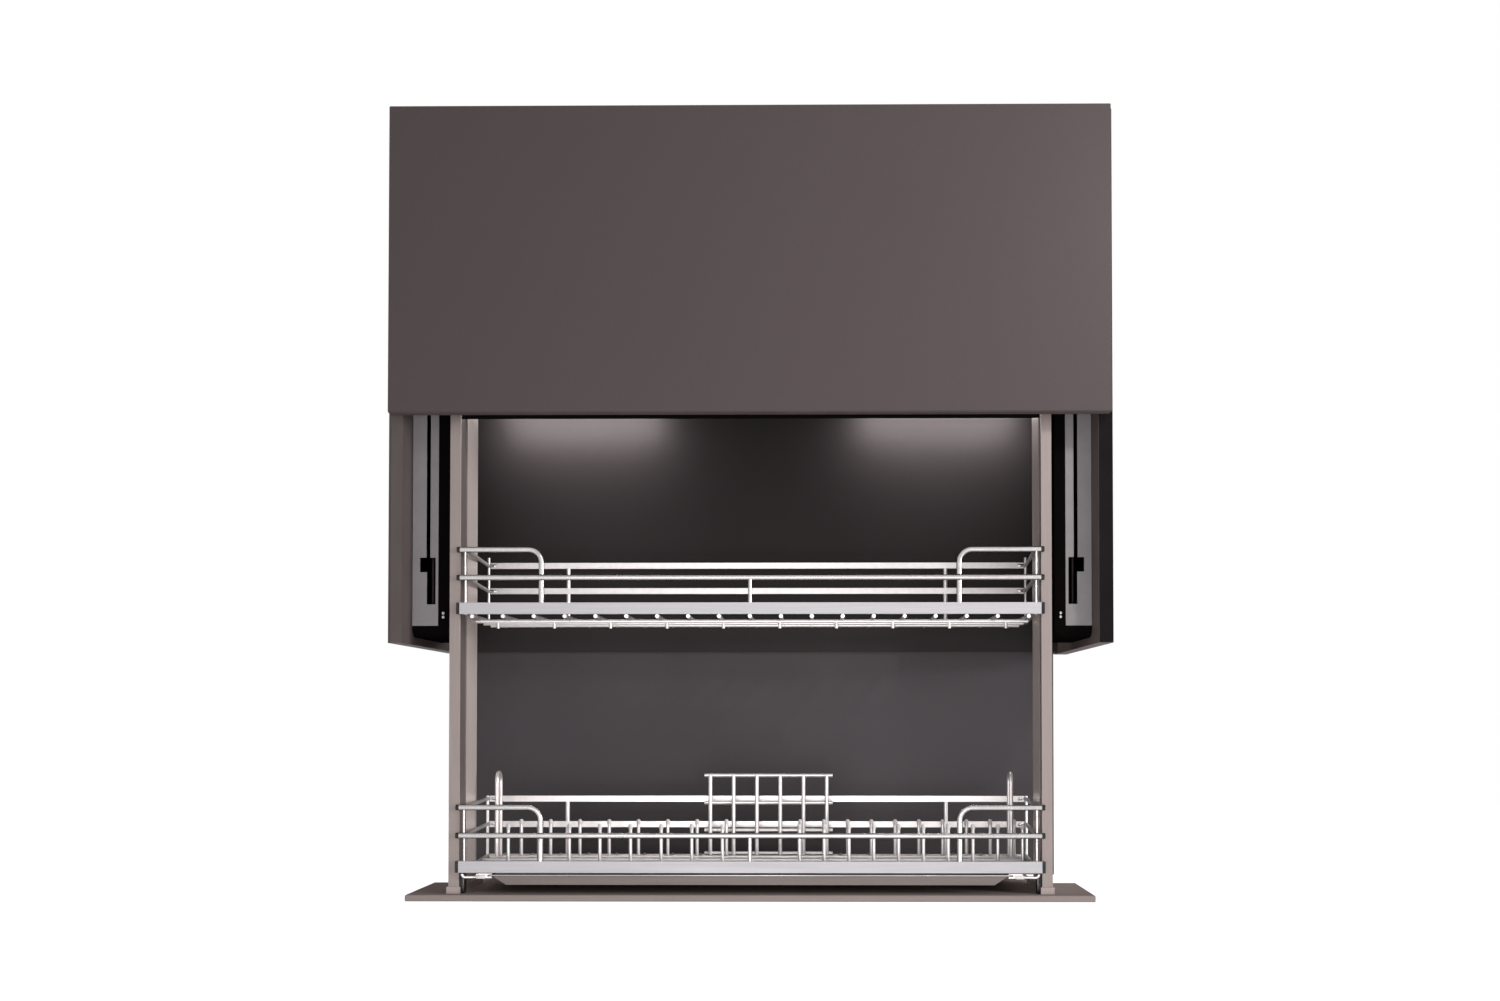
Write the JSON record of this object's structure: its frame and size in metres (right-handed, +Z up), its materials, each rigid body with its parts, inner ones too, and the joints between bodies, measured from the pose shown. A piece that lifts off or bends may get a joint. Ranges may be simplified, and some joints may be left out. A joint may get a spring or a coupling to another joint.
{
  "type": "electric pull-down cabinet rack",
  "caption": "Wall cabinet with a motor-lifted front door and a motor-lowered dish rack of wire baskets, drip tray and bottom board on side posts.",
  "frame": {"origin": "centre of the four wall bolt holes in the hanging rails, on the wall plane", "axes": "+Z up, the front faces -Y, +X to the right seen from the front"},
  "size_m": [0.9, 0.397, 0.985],
  "materials": {
    "cabinet_board": "satin brown-grey laminate on board",
    "door_front": "satin metallic brown-grey lacquer on fibreboard",
    "back_cover": "satin dark grey",
    "rack_aluminium": "champagne anodised",
    "housing_black": "satin black",
    "slot_plate_grey": "cool grey powder coat",
    "plated_steel": "zinc plated",
    "satin_bar": "satin anodised",
    "chrome_wire": "polished",
    "end_cap_black": "black",
    "tray_grey": "satin warm grey",
    "buffer_brown": "brown",
    "motor_black": "black",
    "slider_plastic": "dark acetal",
    "bearing_brass": "machined",
    "belt_rubber": "toothed belt",
    "control_grey": "moulded",
    "lamp_aluminium": "anodised",
    "lamp_diffuser": "opal"
  },
  "bodies": {
    "carcass": {"back_panel": "cabinet_board", "cable_gland": "slider_plastic", "control_box": "control_grey", "door_buffers": "buffer_brown", "door_motors": "motor_black", "fascia_panel": "cabinet_board", "guide_rods": "plated_steel", "hanging_rails": "plated_steel", "housing_boots": "housing_black", "housing_screws": "plated_steel", "idler_pins": "plated_steel", "inner_back_cover": "back_cover", "lamp_channel": "lamp_aluminium", "lamp_diffusers": "lamp_diffuser", "lift_housing_left": "housing_black", "lift_housing_right": "housing_black", "motor_bracket": "plated_steel", "rack_belts": "belt_rubber", "rack_gear_motor": "motor_black", "shaft_bearings": "bearing_brass", "side_panel_left": "cabinet_board", "side_panel_right": "cabinet_board", "slot_plate_left": "slot_plate_grey", "slot_plate_right": "slot_plate_grey", "top_panel": "cabinet_board"},
    "rack": {"side_post_left": "rack_aluminium", "side_post_right": "rack_aluminium", "post_feet": "rack_aluminium", "bottom_board": "rack_aluminium", "rack_back_sheet": "back_cover", "cross_bar": "rack_aluminium", "rack_carriage_left": "slider_plastic", "rack_carriage_right": "slider_plastic", "basket_end_caps": "end_cap_black", "plate_pegs": "chrome_wire", "divider_grid": "chrome_wire", "tray_hangers": "chrome_wire", "drip_tray": "tray_grey", "lower_floor_grid": "chrome_wire", "lower_front_bar": "satin_bar", "lower_guard_rail": "chrome_wire", "lower_handles": "chrome_wire", "lower_rear_guard": "chrome_wire", "lower_side_guards": "chrome_wire", "upper_floor_grid": "chrome_wire", "upper_front_bar": "satin_bar", "upper_guard_rail": "chrome_wire", "upper_handles": "chrome_wire", "upper_rear_guard": "chrome_wire", "upper_side_guards": "chrome_wire"},
    "door": {"door_panel": "door_front", "door_arms": "plated_steel", "door_sliders": "slider_plastic"},
    "drive_shaft": {"rack_drive_shaft": "plated_steel"},
    "idler_left": {"rack_idler_left": "slider_plastic"},
    "idler_right": {"rack_idler_right": "slider_plastic"},
    "spindle_left": {"door_spindle_left": "plated_steel"},
    "spindle_right": {"door_spindle_right": "plated_steel"}
  },
  "joints": [
    {"name": "rack_lift", "type": "slide", "parent": "carcass", "child": "rack", "axis": [0, 0, 1], "range_m": [0, 0.32]},
    {"name": "door_lift", "type": "slide", "parent": "carcass", "child": "door", "axis": [0, 0, 1], "range_m": [-0.283, 0]},
    {"name": "shaft_spin", "type": "hinge", "parent": "carcass", "child": "drive_shaft", "pos_m": [0, -0.21, 0.2725], "axis": [1, 0, 0], "range_deg": [0, 1224.31]},
    {"name": "idler_spin_left", "type": "hinge", "parent": "carcass", "child": "idler_left", "pos_m": [-0.4125, -0.21, -0.2765], "axis": [1, 0, 0], "range_deg": [0, 1224.31]},
    {"name": "idler_spin_right", "type": "hinge", "parent": "carcass", "child": "idler_right", "pos_m": [0.4125, -0.21, -0.2765], "axis": [1, 0, 0], "range_deg": [0, 1224.31]},
    {"name": "spindle_spin_left", "type": "hinge", "parent": "carcass", "child": "spindle_left", "pos_m": [-0.4115, -0.299, -0.0325], "axis": [0, 0, 1], "range_deg": [-5096, 0]},
    {"name": "spindle_spin_right", "type": "hinge", "parent": "carcass", "child": "spindle_right", "pos_m": [0.4115, -0.299, -0.0325], "axis": [0, 0, 1], "range_deg": [-5096, 0]}
  ],
  "couplings": [
    {"joint": "shaft_spin", "follows": "rack_lift", "rad_per_m": 66.667},
    {"joint": "idler_spin_left", "follows": "rack_lift", "rad_per_m": 66.667},
    {"joint": "idler_spin_right", "follows": "rack_lift", "rad_per_m": 66.667},
    {"joint": "spindle_spin_left", "follows": "door_lift", "rad_per_m": 314.16},
    {"joint": "spindle_spin_right", "follows": "door_lift", "rad_per_m": 314.16}
  ]
}
